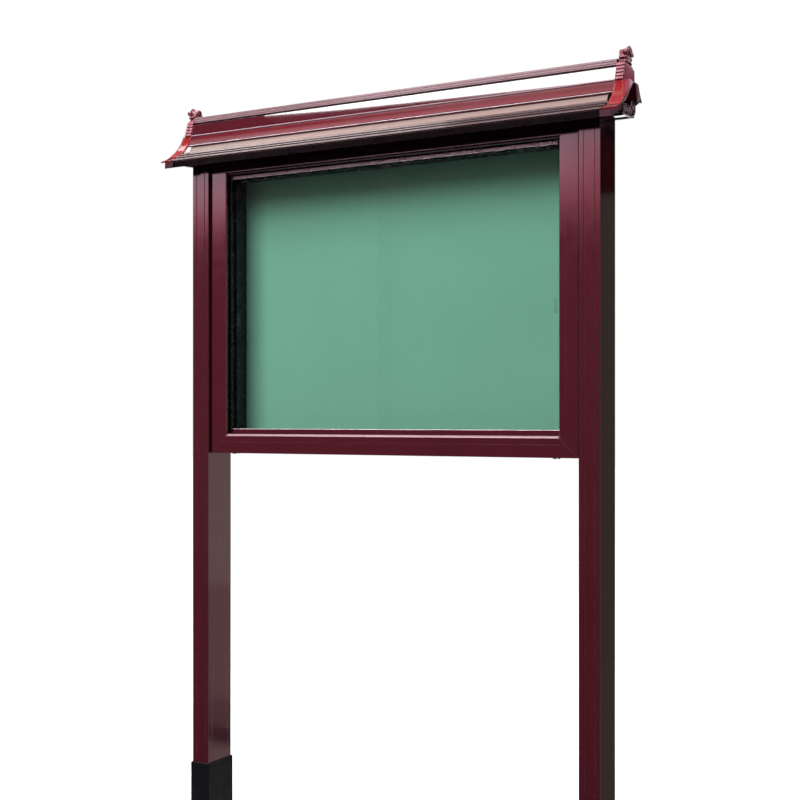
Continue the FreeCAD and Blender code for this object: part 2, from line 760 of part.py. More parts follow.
def ridge_head():
    # Upturned roll on a shaped neck, with a curl on each side
    tilt = math.radians(ROLL_TILT)
    outward = (math.cos(tilt), 0, math.sin(tilt))
    roll = rod(ROLL_START, RIDGE_DEPTH, ROLL_HEIGHT, ROLL_RADIUS, ROLL_LENGTH, outward)
    rim_x = ROLL_START + ROLL_LENGTH * outward[0]
    rim = rod(rim_x, RIDGE_DEPTH, ROLL_HEIGHT + ROLL_LENGTH * outward[2], RIM_RADIUS, 4, outward)
    neck_front = [(56, 148), ((62, 157), (60, 166)), (66, 180)]
    neck_back = [(2 * RIDGE_DEPTH - 66, 180), (102, 166), ((100, 157), (106, 148))]
    neck = roof_bar(neck_front + neck_back, 766, 790)
    curls = []
    for place in (57.0, 105.0):
        inward = 1 if place < RIDGE_DEPTH else -1
        curls.append(rod(779, place, ROLL_HEIGHT, 8.5, 15, (1, 0, 0)))
        curls.append(rod(766, place + 4 * inward, ROOF_BASE + 164, 7, 24, (1, 0, 0)))
    return neck.fuse([roll, rim] + curls).removeSplitter()


def build():
    both_sides("post", post())
    both_sides("foot_sleeve", foot_sleeve())
    PARTS["foot_plates"] = pair(plug_plate(0, 6))
    PARTS["post_caps"] = pair(post_cap())
    for side in ("left", "right"):
        PARTS["frame_stile_" + side] = frame_member(side)
        PARTS["track_stile_" + side] = track_member(side)
    for side in ("top", "bottom"):
        PARTS["frame_rail_" + side] = frame_member(side)
        PARTS["track_rail_" + side] = track_member(side)
    PARTS["corner_keys"] = group([corner_key(x, z) for x in (-1, 1) for z in (-1, 1)])
    PARTS["pin_board"] = pin_board()
    PARTS["back_panel"] = back_panel()
    PARTS["back_screws"] = back_screws()
    PARTS["jamb_buffers"] = jamb_buffers()
    PARTS["frame_spacers"] = frame_spacers()
    PARTS["side_bolts"] = side_bolts()
    PARTS["lock_housings"] = group([lock_housing(side) for side in SIDES.values()])
    for name, side in SIDES.items():
        PARTS["glass_pane_" + name] = glass_pane(side)
        PARTS["door_shoe_" + name] = door_shoe(side)
        PARTS["top_guard_" + name] = top_guard(side)
        PARTS["edge_channel_" + name] = edge_channel(side)
        PARTS["finger_tab_" + name] = finger_tab(side)
        PARTS["lock_plug_" + name] = lock_plug(side)
        PARTS["lock_bolt_" + name] = lock_bolt(side)
    PARTS["roof_brackets"] = pair(roof_bracket())
    PARTS["roof_beam"] = roof_beam()
    PARTS["ridge_case"] = ridge_case()
    PARTS["ridge_bar"] = ridge_bar()
    PARTS["upper_course_front"] = roof_bar(course_outline(), -BODY_HALF, BODY_HALF)
    PARTS["upper_course_rear"] = roof_bar(behind(course_outline()), -BODY_HALF, BODY_HALF)
    PARTS["frieze"] = frieze()
    PARTS["eave_plate"] = eave_plate()
    PARTS["fascia"] = fascia()
    PARTS["rear_closure"] = rear_closure()
    PARTS["rear_tie"] = rear_tie()
    PARTS["rafters"] = pair(rafter())
    PARTS["gable_panels"] = pair(gable_panel())
    both_sides("verge_front", verge_front())
    PARTS["verge_rear"] = pair(verge_rear())
    both_sides("bargeboard", bargeboard())
    both_sides("gable_carving", gable_carving())
    both_sides("ridge_end", ridge_end())
    both_sides("ridge_head", ridge_head())


def export():
    os.makedirs("parts", exist_ok=True)
    for name, shape in PARTS.items():
        shape.exportStep(os.path.join("parts", name + ".step"))
        print(name, round(shape.Volume), shape.isValid(), len(shape.Solids))
    print(len(PARTS), "nodes")


build()
export()
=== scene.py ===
import json
import math

import bmesh
import bpy
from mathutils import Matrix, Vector


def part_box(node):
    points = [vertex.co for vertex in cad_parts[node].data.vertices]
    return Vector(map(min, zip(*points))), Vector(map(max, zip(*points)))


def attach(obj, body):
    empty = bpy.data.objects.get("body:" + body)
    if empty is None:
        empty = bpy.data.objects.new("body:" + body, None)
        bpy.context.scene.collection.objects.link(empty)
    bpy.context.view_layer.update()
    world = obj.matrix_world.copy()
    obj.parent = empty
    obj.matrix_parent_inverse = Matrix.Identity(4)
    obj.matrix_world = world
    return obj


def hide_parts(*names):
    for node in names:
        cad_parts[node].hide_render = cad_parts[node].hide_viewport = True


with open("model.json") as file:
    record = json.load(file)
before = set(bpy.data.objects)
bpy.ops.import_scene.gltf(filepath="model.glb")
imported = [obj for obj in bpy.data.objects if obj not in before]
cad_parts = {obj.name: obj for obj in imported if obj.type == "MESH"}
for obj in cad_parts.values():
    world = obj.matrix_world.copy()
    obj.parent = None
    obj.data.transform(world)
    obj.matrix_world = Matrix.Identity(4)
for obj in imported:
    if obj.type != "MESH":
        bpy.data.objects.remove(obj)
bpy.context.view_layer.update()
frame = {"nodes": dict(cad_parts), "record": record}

# Lockable notice board. Metres, in the frame of the solids: X to the right along the board,
# Y from front to back, Z up from the ground. Depths are measured back from the posts' front.

nodes = frame["nodes"]
SIDES = {"left": -1, "right": 1}

BOARD = "board"
POST_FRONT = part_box("post_right")[0][1]
PIN_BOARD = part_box("pin_board")
FRAME_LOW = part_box("frame_rail_bottom")[0][2]
FRAME_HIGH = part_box("frame_rail_top")[1][2]
FRAME_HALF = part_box("frame_rail_bottom")[1][0]
# Height of the line where the roof starts, and depth of the middle of its ridge
BASE = 2.5
RIDGE_DEPTH = 0.081


def at(x, depth, height):
    """A point of the roof: height is above the line where the roof starts."""
    return Vector((x, depth + POST_FRONT, BASE + height))


# Camera: level, turned to its left, with the horizon a little below the middle

CAMERA_PLACE = (2.007, -3.511 + POST_FRONT, 1.616)
CAMERA_TURN = 28.81
FOCAL_PIXELS = 1288.0
PICTURE_PIXELS = 800.0
HORIZON_PIXEL = 419.5
SENSOR = 36.0


def make_camera():
    data = bpy.data.cameras.new("camera")
    data.sensor_width = SENSOR
    data.sensor_fit = "HORIZONTAL"
    data.lens = SENSOR * FOCAL_PIXELS / PICTURE_PIXELS
    data.shift_y = (HORIZON_PIXEL - PICTURE_PIXELS / 2) / PICTURE_PIXELS
    data.clip_end = 200
    camera = bpy.data.objects.new("camera", data)
    camera.location = CAMERA_PLACE
    camera.rotation_euler = (math.radians(90), 0, math.radians(CAMERA_TURN))
    bpy.context.scene.collection.objects.link(camera)
    bpy.context.scene.camera = camera
    bpy.context.scene.view_settings.view_transform = "Standard"


# World and floor

WHITE = (1.0, 1.0, 1.0, 1.0)
# What the world and the floor throw on the object
WORLD_TONE = (0.13, 0.13, 0.08, 1)
FLOOR_TONE = (0.22, 0.21, 0.21, 1)
FLOOR_REACH = 40.0
# Distance from the object, and how white the floor shows there
FLOOR_NEAR = (0.8, 0.55)
FLOOR_FAR = (2.6, 1.0)


def ray_kinds(tree, *kinds):
    """One output that is 1 for any of these kinds of ray."""
    path = tree.nodes.new("ShaderNodeLightPath")
    total = path.outputs[kinds[0]]
    for kind in kinds[1:]:
        larger = tree.nodes.new("ShaderNodeMath")
        larger.operation = "MAXIMUM"
        tree.links.new(total, larger.inputs[0])
        tree.links.new(path.outputs[kind], larger.inputs[1])
        total = larger.outputs[0]
    return total


def white_where(tree, seen, tone):
    """White where seen is 1, and this tone elsewhere."""
    mix = tree.nodes.new("ShaderNodeMix")
    mix.data_type = "RGBA"
    mix.inputs["A"].default_value = tone
    mix.inputs["B"].default_value = WHITE
    tree.links.new(seen, mix.inputs["Factor"])
    return mix.outputs["Result"]


def make_world():
    world = bpy.data.worlds.new("studio")
    world.use_nodes = True
    bpy.context.scene.world = world
    tree = world.node_tree
    seen = ray_kinds(tree, "Is Camera Ray", "Is Glossy Ray", "Is Transmission Ray")
    tree.links.new(white_where(tree, seen, WORLD_TONE), tree.nodes["Background"].inputs["Color"])


def plane(name, corners):
    mesh = bpy.data.meshes.new(name)
    mesh.from_pydata([Vector(corner) for corner in corners], [], [(0, 1, 2, 3)])
    piece = bpy.data.objects.new(name, mesh)
    bpy.context.scene.collection.objects.link(piece)
    return piece


def slanted(left, right, depth, lows, highs):
    """Corners of an upright plane, with the heights of its lower and upper edge at each end."""
    return [
        (left, depth, lows[0]), (right, depth, lows[1]),
        (right, depth, highs[1]), (left, depth, highs[0]),
    ]


def upright(left, right, depth, low, high):
    return slanted(left, right, depth, (low, low), (high, high))


def flat(left, right, front, back, heights):
    """Corners of a plane that lies level, or leans to one side, with its height at each end."""
    low, high = heights
    return [(left, front, low), (right, front, high), (right, back, high), (left, back, low)]


def make_floor():
    reach = FLOOR_REACH
    floor = plane("floor", flat(-reach, reach, -reach, reach, (0, 0)))
    material = bpy.data.materials.new("floor")
    material.use_nodes = True
    tree = material.node_tree
    shader = tree.nodes["Principled BSDF"]
    shader.inputs["Roughness"].default_value = 1.0
    shader.inputs["Specular IOR Level"].default_value = 0.0
    seen = ray_kinds(tree, "Is Camera Ray", "Is Glossy Ray")
    tree.links.new(white_where(tree, seen, FLOOR_TONE), shader.inputs["Base Color"])
    # White far away, and a little less near the object so that its shadow still shows
    place = tree.nodes.new("ShaderNodeTexCoord")
    distance = tree.nodes.new("ShaderNodeVectorMath")
    distance.operation = "LENGTH"
    tree.links.new(place.outputs["Object"], distance.inputs[0])
    glow = tree.nodes.new("ShaderNodeMapRange")
    for socket, value in zip(("From Min", "To Min", "From Max", "To Max"), FLOOR_NEAR + FLOOR_FAR):
        glow.inputs[socket].default_value = value
    tree.links.new(distance.outputs["Value"], glow.inputs["Value"])
    strength = tree.nodes.new("ShaderNodeMath")
    strength.operation = "MULTIPLY"
    tree.links.new(glow.outputs["Result"], strength.inputs[0])
    tree.links.new(seen, strength.inputs[1])
    shader.inputs["Emission Color"].default_value = WHITE
    tree.links.new(strength.outputs[0], shader.inputs["Emission Strength"])
    floor.data.materials.append(material)


# Lamps light the object and don't show in its gloss. The cards show in its gloss alone

LAMP_TARGET = (0, 0.05, 1.9)
# Place, width and height, watts
LAMPS = {
    "key": ((-1.6, -4.6, 7.0), (5.5, 3.6), 620),
    "overhead": ((0, -0.6, 8.5), (5.0, 3.0), 240),
    "fill": ((-3.6, -4.0, 1.6), (3.0, 2.4), 12),
    "back": ((0.5, 5.0, 5.5), (4.0, 3.0), 160),
}
BLACK = (0, 0, 0)
DIM = (0.03, 0.03, 0.03)
WALL_DEPTH = -9.0
WALL_ENDS = (-14, 6)
WALL_TOP = 15
REAR_DEPTH = 7
REAR_ENDS = (1.6, 5.2)

# What the inner side of the left post mirrors: low and high edge, colour
POST_CARD_ENDS = (-0.3, 0.5)
POST_CARD_DEPTH = 1.0
POST_CARD_STRENGTH = 1.65
POST_CARDS = [
    (0.02, 0.20, (0.62, 0.44, 0.44)),
    (0.20, 0.27, (0.08, 0.06, 0.08)),
    (0.27, 0.40, (0.36, 0.23, 0.26)),
    (0.40, 0.90, (0.60, 0.37, 0.38)),
    (0.90, 1.62, (0.78, 0.56, 0.56)),
]

# What the upright paint mirrors: a dim red band low down, then brighter ones. Left and right end,
# the heights of the lower and of the upper edge at each end, colour, strength
FRONT_DEPTH = -8.0
FRONT_LEFT = -9.0
FRONT_RIGHT = 0.5
FRONT_BANDS = [
    (FRONT_LEFT, -2.38, (3.74, 3.62), (3.95, 3.85), (1.0, 0.22, 0.30), 3.2),
    (FRONT_LEFT, -2.38, (3.95, 3.85), (4.45, 4.45), (1.0, 0.58, 0.74), 4.8),
    (FRONT_LEFT, -2.38, (4.45, 4.45), (4.90, 4.90), (1.0, 0.72, 0.86), 5.5),
    (-2.38, FRONT_RIGHT, (3.58, 3.58), (4.16, 4.16), (1.0, 0.22, 0.30), 3.2),
    (-2.38, FRONT_RIGHT, (4.16, 4.16), (4.90, 4.90), (1.0, 0.50, 0.66), 4.5),
    (FRONT_LEFT, -5.2, (4.90, 4.90), (5.90, 5.90), (1.0, 0.82, 0.88), 6.5),
    (-5.2, FRONT_RIGHT, (4.90, 4.90), (5.90, 5.90), (1.0, 0.84, 0.90), 11.5),
    (FRONT_LEFT, FRONT_RIGHT, (5.90, 5.90), (8.70, 8.70), (1.0, 0.86, 0.93), 14.0),
    (FRONT_LEFT, FRONT_RIGHT, (8.70, 8.70), (12.0, 12.0), (1.0, 0.84, 0.90), 9.0),
]

# What the tilted face under the ridge bar mirrors: a white band with this lower edge, as X and Z
BAND_DEPTH = -4.2
BAND_TOP = 8.54
BAND_COLOUR = (1, 1, 1)
BAND_STRENGTH = 14.0
BAND_EDGE = [
    (-5.27, 8.450), (-4.96, 8.425), (-4.37, 8.381), (-3.71, 8.351), (-2.89, 8.321), (-2.03, 8.294),
    (-1.50, 8.287),
]


def area_lamp(name, place, size, power):
    data = bpy.data.lights.new(name, "AREA")
    data.shape = "RECTANGLE"
    data.size, data.size_y = size
    data.energy = power
    lamp = bpy.data.objects.new(name, data)
    lamp.location = place
    aim = Vector(LAMP_TARGET) - Vector(place)
    lamp.rotation_euler = aim.to_track_quat("-Z", "Y").to_euler()
    lamp.visible_camera = False
    lamp.visible_glossy = False
    bpy.context.scene.collection.objects.link(lamp)


def gloss_card(name, corners, colour, strength):
    """A studio card: black to hold reflections back, bright to make them."""
    card = plane(name, corners)
    material = bpy.data.materials.new(name)
    material.use_nodes = True
    tree = material.node_tree
    tree.nodes.remove(tree.nodes["Principled BSDF"])
    emission = tree.nodes.new("ShaderNodeEmission")
    emission.inputs["Color"].default_value = (*colour, 1)
    emission.inputs["Strength"].default_value = strength
    tree.links.new(emission.outputs[0], tree.nodes["Material Output"].inputs["Surface"])
    card.data.materials.append(material)
    card.visible_camera = False
    card.visible_diffuse = False
    card.visible_transmission = False
    card.visible_shadow = False


def make_front_cards():
    """A dim wall and dark ground before the board, and what its posts and front mirror."""
    gloss_card("card_front", upright(*WALL_ENDS, WALL_DEPTH, -0.2, WALL_TOP), DIM, 1)
    gloss_card("card_high", upright(-16, -9.6, WALL_DEPTH, WALL_TOP, 22), DIM, 1)
    gloss_card("card_ground", flat(*WALL_ENDS, WALL_DEPTH, -0.6, (0.01, 0.01)), BLACK, 0)
    gloss_card("card_side", upright(0.80, 1.7, 1.0, 0, 2.45), (0.10, 0.11, 0.10), 1)
    for number, (low, high, colour) in enumerate(POST_CARDS):
        corners = upright(*POST_CARD_ENDS, POST_CARD_DEPTH, low, high)
        gloss_card("card_post_%d" % number, corners, colour, POST_CARD_STRENGTH)
    for number, (left, right, lows, highs, colour, strength) in enumerate(FRONT_BANDS):
        corners = slanted(left, right, FRONT_DEPTH, lows, highs)
        gloss_card("panel_front_%d" % number, corners, colour, strength)


def make_rear_cards():
    """What the right post and the eaves mirror from behind."""
    gloss_card("card_low", upright(*REAR_ENDS, REAR_DEPTH, -0.2, 3.3), (0.08, 0.09, 0.09), 1)
    gloss_card("card_back", upright(*REAR_ENDS, REAR_DEPTH, 3.3, 4.35), BLACK, 0)
    gloss_card("panel_side", upright(*REAR_ENDS, REAR_DEPTH, 4.35, 5.8), (1.0, 0.42, 0.62), 1.6)
    gloss_card("card_eave", upright(-9, -0.5, 6, 4.0, 13), (0.02, 0.015, 0.02), 1)


def make_roof_cards():
    """What the faces of the roof mirror from above."""
    for number, ((left, low), (right, high)) in enumerate(zip(BAND_EDGE, BAND_EDGE[1:])):
        corners = slanted(left, right, BAND_DEPTH, (low, high), (BAND_TOP, BAND_TOP))
        gloss_card("panel_band_%d" % number, corners, BAND_COLOUR, BAND_STRENGTH)
    gloss_card("panel_course", flat(-5.0, -0.8, -2.0, -0.6, (9.0, 9.4)), (1.0, 0.50, 0.54), 2.1)
    gloss_card("panel_bevel", flat(-6.5, -2.9, -0.6, 0.9, (8.2, 8.96)), (1.0, 0.92, 0.90), 19.0)
    gloss_card("panel_top", flat(-2.9, -0.8, -0.6, 0.9, (8.96, 9.4)), (1.0, 0.96, 0.92), 3.5)
    gloss_card("panel_right", flat(2.2, 6.0, -4.0, 1.4, (8.6, 8.6)), (1.0, 0.62, 0.8), 8.0)


def make_lights():
    for name, (place, size, power) in LAMPS.items():
        area_lamp(name, place, size, power)
    make_front_cards()
    make_rear_cards()
    make_roof_cards()


# Materials: colour, gloss, grain and wear come from nodes

class Finish:
    """A material with its shader, and short ways to add nodes to it."""

    def __init__(self, name, colour, roughness, metallic=0.0, specular=0.5):
        self.material = bpy.data.materials.new(name)
        self.material.use_nodes = True
        self.tree = self.material.node_tree
        self.shader = self.tree.nodes["Principled BSDF"]
        self.set("Base Color", (*colour, 1))
        self.set("Roughness", roughness)
        self.set("Metallic", metallic)
        self.set("Specular IOR Level", specular)

    def set(self, socket, value):
        self.shader.inputs[socket].default_value = value

    def node(self, kind, **settings):
        made = self.tree.nodes.new(kind)
        for key, value in settings.items():
            setattr(made, key, value)
        return made

    def join(self, source, target):
        self.tree.links.new(source, target)

    def noise(self, scale, detail=3.0, stretch=(1, 1, 1)):
        place = self.node("ShaderNodeTexCoord")
        mapping = self.node("ShaderNodeMapping")
        mapping.inputs["Scale"].default_value = stretch
        texture = self.node("ShaderNodeTexNoise")
        texture.inputs["Scale"].default_value = scale
        texture.inputs["Detail"].default_value = detail
        self.join(place.outputs["Object"], mapping.inputs["Vector"])
        self.join(mapping.outputs["Vector"], texture.inputs["Vector"])
        return texture.outputs["Fac"]

    def spread(self, source, low, high, from_low=0.25, from_high=0.75):
        ramp = self.node("ShaderNodeMapRange")
        ramp.inputs["From Min"].default_value = from_low
        ramp.inputs["From Max"].default_value = from_high
        ramp.inputs["To Min"].default_value = low
        ramp.inputs["To Max"].default_value = high
        self.join(source, ramp.inputs["Value"])
        return ramp.outputs["Result"]

    def mix(self, factor, first, second):
        mixed = self.node("ShaderNodeMix", data_type="RGBA")
        for socket, value in (("Factor", factor), ("A", first), ("B", second)):
            if isinstance(value, bpy.types.NodeSocket):
                self.join(value, mixed.inputs[socket])
            elif socket == "Factor":
                mixed.inputs[socket].default_value = value
            else:
                mixed.inputs[socket].default_value = (*value, 1)
        return mixed.outputs["Result"]

    def colour(self, source):
        self.join(source, self.shader.inputs["Base Color"])

    def rough(self, source):
        self.join(source, self.shader.inputs["Roughness"])

    def bump(self, height, strength, distance, rounding=0.0):
        bump = self.node("ShaderNodeBump")
        bump.inputs["Strength"].default_value = strength
        bump.inputs["Distance"].default_value = distance
        self.join(height, bump.inputs["Height"])
        if rounding:
            bevel = self.node("ShaderNodeBevel", samples=4)
            bevel.inputs["Radius"].default_value = rounding
            self.join(bevel.outputs[0], bump.inputs["Normal"])
        self.join(bump.outputs[0], self.shader.inputs["Normal"])

    def edges(self, radius):
        """1 on sharp edges, fading to 0 within the radius."""
        bevel = self.node("ShaderNodeBevel", samples=6)
        bevel.inputs["Radius"].default_value = radius
        geometry = self.node("ShaderNodeNewGeometry")
        dot = self.node("ShaderNodeVectorMath", operation="DOT_PRODUCT")
        self.join(bevel.outputs[0], dot.inputs[0])
        self.join(geometry.outputs["Normal"], dot.inputs[1])
        return self.spread(dot.outputs["Value"], 1.0, 0.0, 0.80, 0.995)


# Paler colour for edges: partly wear, partly a painted highlight where edges catch the light
WEAR_AND_HIGHLIGHT = (0.20, 0.07, 0.09)
DUST = (0.30, 0.25, 0.24)
# Near black for the painted shade under the eaves
EAVE_SHADE = (0.004, 0.002, 0.004)
# Heights between which the painted shade under the eaves comes in
EAVE_SHADE_LOW = 2.425
EAVE_SHADE_HIGH = 2.452
# Length of the pin cloth that one rib takes up
RIB = 0.0021


def scaled(colour, factor):
    return tuple(min(1.0, part * factor) for part in colour)


def paint(name, colour, edge_wear_and_highlight, roughness, specular=0.5, coat=0.0, rounding=0.0012, dust=0.0, peel=0.06,
          shaded_under_eaves=False):
    """Gloss paint on metal: uneven tone, a fine orange peel, paler worn edges and a little dust.

    A paint shaded under the eaves darkens where it reaches up under them: painted shade.
    """
    made = Finish(name, colour, roughness, specular=specular)
    tone = made.mix(made.spread(made.noise(3.0, 4.0), 0, 1), scaled(colour, 0.86), scaled(colour, 1.14))
    grain = made.mix(made.spread(made.noise(420.0, 2.0), 0, 1), scaled(colour, 0.9), scaled(colour, 1.12))
    body = made.mix(0.5, tone, grain)
    # Paler edges in patches: partly chipped paint, partly a painted edge highlight
    wear_and_highlight_edges = made.node("ShaderNodeMath", operation="MULTIPLY")
    made.join(made.edges(0.0016), wear_and_highlight_edges.inputs[0])
    made.join(made.spread(made.noise(60.0, 4.0), 0.15, 0.75, 0.4, 0.62), wear_and_highlight_edges.inputs[1])
    body = made.mix(wear_and_highlight_edges.outputs[0], body, edge_wear_and_highlight)
    if dust:
        geometry = made.node("ShaderNodeNewGeometry")
        parts = made.node("ShaderNodeSeparateXYZ")
        made.join(geometry.outputs["Normal"], parts.inputs[0])
        upward = made.spread(parts.outputs["Z"], 0.0, dust, 0.3, 1.0)
        body = made.mix(upward, body, DUST)
    if shaded_under_eaves:
        # Painted shade: darker high up, where the eaves shade the paint
        place = made.node("ShaderNodeTexCoord")
        parts = made.node("ShaderNodeSeparateXYZ")
        made.join(place.outputs["Object"], parts.inputs[0])
        eave_shade_mask = made.spread(parts.outputs["Z"], 0.0, 0.9, EAVE_SHADE_LOW, EAVE_SHADE_HIGH)
        body = made.mix(eave_shade_mask, body, EAVE_SHADE)
    made.colour(body)
    made.rough(made.spread(made.noise(26.0, 3.0), roughness * 0.75, roughness * 1.35))
    made.bump(made.noise(900.0, 1.0), peel, 0.0004, rounding)
    if coat:
        made.set("Coat Weight", coat)
        made.set("Coat Roughness", 0.015)
    return made.material


def steel(name, colour, roughness):
    """Zinc or plated steel, with fine brushing and blotches."""
    made = Finish(name, colour, roughness, metallic=1.0)
    blotch = made.spread(made.noise(55.0, 5.0), 0, 1)
    made.colour(made.mix(blotch, scaled(colour, 0.72), scaled(colour, 1.18)))
    made.rough(made.spread(made.noise(300.0, 2.0, (1, 1, 0.05)), roughness * 0.8, roughness * 1.3))
    made.bump(made.noise(1200.0, 2.0, (1, 1, 0.08)), 0.12, 0.0003, 0.0008)
    return made.material


def rubber(name, colour, roughness):
    """Rubber or matt plastic, with a fine even grain and scuffs."""
    made = Finish(name, colour, roughness, specular=0.35)
    scuff = made.spread(made.noise(9.0, 6.0), 0, 1, 0.5, 0.72)
    made.colour(made.mix(scuff, colour, scaled(colour, 2.2)))
    made.rough(made.spread(made.noise(40.0, 3.0), roughness * 0.85, roughness * 1.15))
    made.bump(made.noise(700.0, 2.0), 0.2, 0.0004, 0.0015)
    return made.material


def pin_cloth(name, colour):
    """Ribbed pin cloth: a close weave with slubs, slightly uneven in tone, with painted shade at its left
    edge and along its top.
    """
    made = Finish(name, colour, 0.92, specular=0.2)
    place = made.node("ShaderNodeTexCoord")
    parts = made.node("ShaderNodeSeparateXYZ")
    made.join(place.outputs["Object"], parts.inputs[0])
    threads = []
    for axis in ("X", "Z"):
        turns = made.node("ShaderNodeMath", operation="MULTIPLY")
        turns.inputs[1].default_value = 2 * math.pi / RIB
        made.join(parts.outputs[axis], turns.inputs[0])
        wave = made.node("ShaderNodeMath", operation="SINE")
        made.join(turns.outputs[0], wave.inputs[0])
        threads.append(wave.outputs[0])
    weave = made.node("ShaderNodeMath", operation="MULTIPLY")
    made.join(threads[0], weave.inputs[0])
    made.join(threads[1], weave.inputs[1])
    slub = made.noise(520.0, 4.0, (1, 1, 0.35))
    tone = made.mix(made.spread(made.noise(5.0, 5.0), 0, 1), scaled(colour, 0.95), scaled(colour, 1.05))
    fleck = made.mix(made.spread(slub, 0, 1), scaled(colour, 0.88), scaled(colour, 1.12))
    ground = made.mix(0.5, tone, fleck)
    woven = made.mix(made.spread(weave.outputs[0], 0, 0.35, -1, 1), ground, scaled(colour, 0.8))
    # Painted shade: darker at the left edge and along the top, where the frame and the roof shade the board
    left, top = PIN_BOARD[0][0], PIN_BOARD[1][2]
    near_left = made.spread(parts.outputs["X"], 0.36, 1.0, left + 0.02, left + 0.10)
    near_top = made.spread(parts.outputs["Z"], 1.0, 0.40, top - 0.16, top - 0.01)
    shade = made.node("ShaderNodeMath", operation="MULTIPLY")
    made.join(near_left, shade.inputs[0])
    made.join(near_top, shade.inputs[1])
    made.colour(made.mix(shade.outputs[0], scaled(colour, 0.12), woven))
    height = made.node("ShaderNodeMath", operation="ADD")
    made.join(weave.outputs[0], height.inputs[0])
    made.join(slub, height.inputs[1])
    made.bump(height.outputs[0], 0.25, 0.0005)
    made.set("Sheen Weight", 0.15)
    made.set("Sheen Roughness", 0.6)
    return made.material


def clear(name, colour, alpha, roughness=0.03):
    """Thin clear glass or acrylic, with faint smears."""
    made = Finish(name, colour, roughness)
    made.set("Alpha", alpha)
    made.rough(made.spread(made.noise(7.0, 5.0), roughness, roughness * 4, 0.45, 0.75))
    made.colour(made.mix(made.spread(made.noise(3.0, 3.0), 0, 1), colour, scaled(colour, 0.8)))
    return made.material


MATERIALS = {
    "post_paint": paint("post_paint", (0.085, 0.011, 0.020), WEAR_AND_HIGHLIGHT, 0.11, rounding=0.001, shaded_under_eaves=True),
    # The sleeve's pale grey edges are a painted highlight along its rim and corners
    "sleeve_black": paint("sleeve_black", (0.004, 0.0045, 0.006), (0.16, 0.16, 0.17), 0.5, specular=0.05),
    "galvanised": steel("galvanised", (0.52, 0.53, 0.54), 0.42),
    "frame_paint": paint("frame_paint", (0.085, 0.011, 0.020), WEAR_AND_HIGHLIGHT, 0.11, shaded_under_eaves=True),
    # Near black on the tracks: painted shade, for tracks of frame maroon that sit deep in shade
    "track_black": paint("track_black", (0.004, 0.004, 0.006), (0.05, 0.045, 0.05), 0.25),
    "board_green": pin_cloth("board_green", (0.165, 0.44, 0.33)),
    "back_sheet": paint("back_sheet", (0.13, 0.02, 0.035), WEAR_AND_HIGHLIGHT, 0.4),
    "buffer_rubber": rubber("buffer_rubber", (0.015, 0.015, 0.015), 0.7),
    "clear_glass": clear("clear_glass", (0.02, 0.06, 0.045), 0.014),
    "door_metal": paint("door_metal", (0.005, 0.005, 0.007), (0.05, 0.048, 0.05), 0.25),
    "clear_plastic": clear("clear_plastic", (0.08, 0.09, 0.09), 0.12, 0.08),
    "lock_chrome": steel("lock_chrome", (0.72, 0.72, 0.73), 0.14),
    "roof_paint": paint("roof_paint", (0.10, 0.010, 0.018), WEAR_AND_HIGHLIGHT, 0.09, dust=0.02),
    "roof_dark": paint("roof_dark", (0.011, 0.005, 0.008), (0.08, 0.06, 0.065), 0.3),
    "ornament_paint": paint("ornament_paint", (0.19, 0.016, 0.036), (0.36, 0.12, 0.17), 0.12, dust=0.02),
    # Looks for single nodes and for the pieces below
    "ridge_mirror": paint("ridge_mirror", (0.085, 0.009, 0.017), WEAR_AND_HIGHLIGHT, 0.025, coat=1.0, peel=0.002),
    # Darker copy of the roof paint for the eave plate: painted shade
    "eave_shaded_paint": paint("eave_shaded_paint", (0.035, 0.005, 0.010), WEAR_AND_HIGHLIGHT, 0.07, peel=0.02),
    # Lighter copy of the roof paint for the upper course, where it catches more light: painted light
    "course_lit_paint": paint("course_lit_paint", (0.14, 0.012, 0.020), WEAR_AND_HIGHLIGHT, 0.10),
    # Pale pink for the ridge-end tiles: a painted reflection on the ornament paint
    "tile_painted_reflection": paint("tile_painted_reflection", (0.36, 0.11, 0.15), (0.60, 0.34, 0.40), 0.16,
                        rounding=0.0005, peel=0.01),
    # Pink for the ridge-end core: a painted reflection on the ornament paint
    "core_painted_reflection": paint("core_painted_reflection", (0.30, 0.035, 0.08), (0.40, 0.14, 0.20), 0.14, specular=0.2),
    # Pale copy of the frame paint for the lip: painted highlight
    "lip_painted_highlight": paint("lip_painted_highlight", (0.43, 0.25, 0.275), (0.60, 0.40, 0.44), 0.30),
    # Near black for strips and beads put where there are shadow lines: painted shade
    "shadow_line_dark": paint("shadow_line_dark", (0.004, 0.002, 0.003), (0.02, 0.01, 0.015), 0.6, specular=0.08),
    # Pale peach for the frieze: a painted reflection of the sky on the roof paint
    "frieze_painted_reflection": paint("frieze_painted_reflection", (0.285, 0.205, 0.187), (0.5, 0.42, 0.4), 0.15),
    "verge_red": paint("verge_red", (0.27, 0.009, 0.014), (0.50, 0.20, 0.14), 0.10, specular=0.09),
    # Dark copy of the roof paint for the gable parts and rear arm, which sit in shade: painted shade
    "gable_painted_shade": paint("gable_painted_shade", (0.035, 0.006, 0.014), (0.08, 0.03, 0.05), 0.25, specular=0.1),
    # Pink copy of the roof paint for the front arm: a painted reflection
    "flange_painted_reflection": paint("flange_painted_reflection", (0.20, 0.025, 0.06), WEAR_AND_HIGHLIGHT, 0.12),
    "carving_dark": paint("carving_dark", (0.09, 0.010, 0.022), (0.45, 0.2, 0.26), 0.12),
    # Bright metal for beads that give highlight lines along edges, taken as bare metal
    "highlight_bead_metal": steel("highlight_bead_metal", (0.55, 0.52, 0.55), 0.3),
}
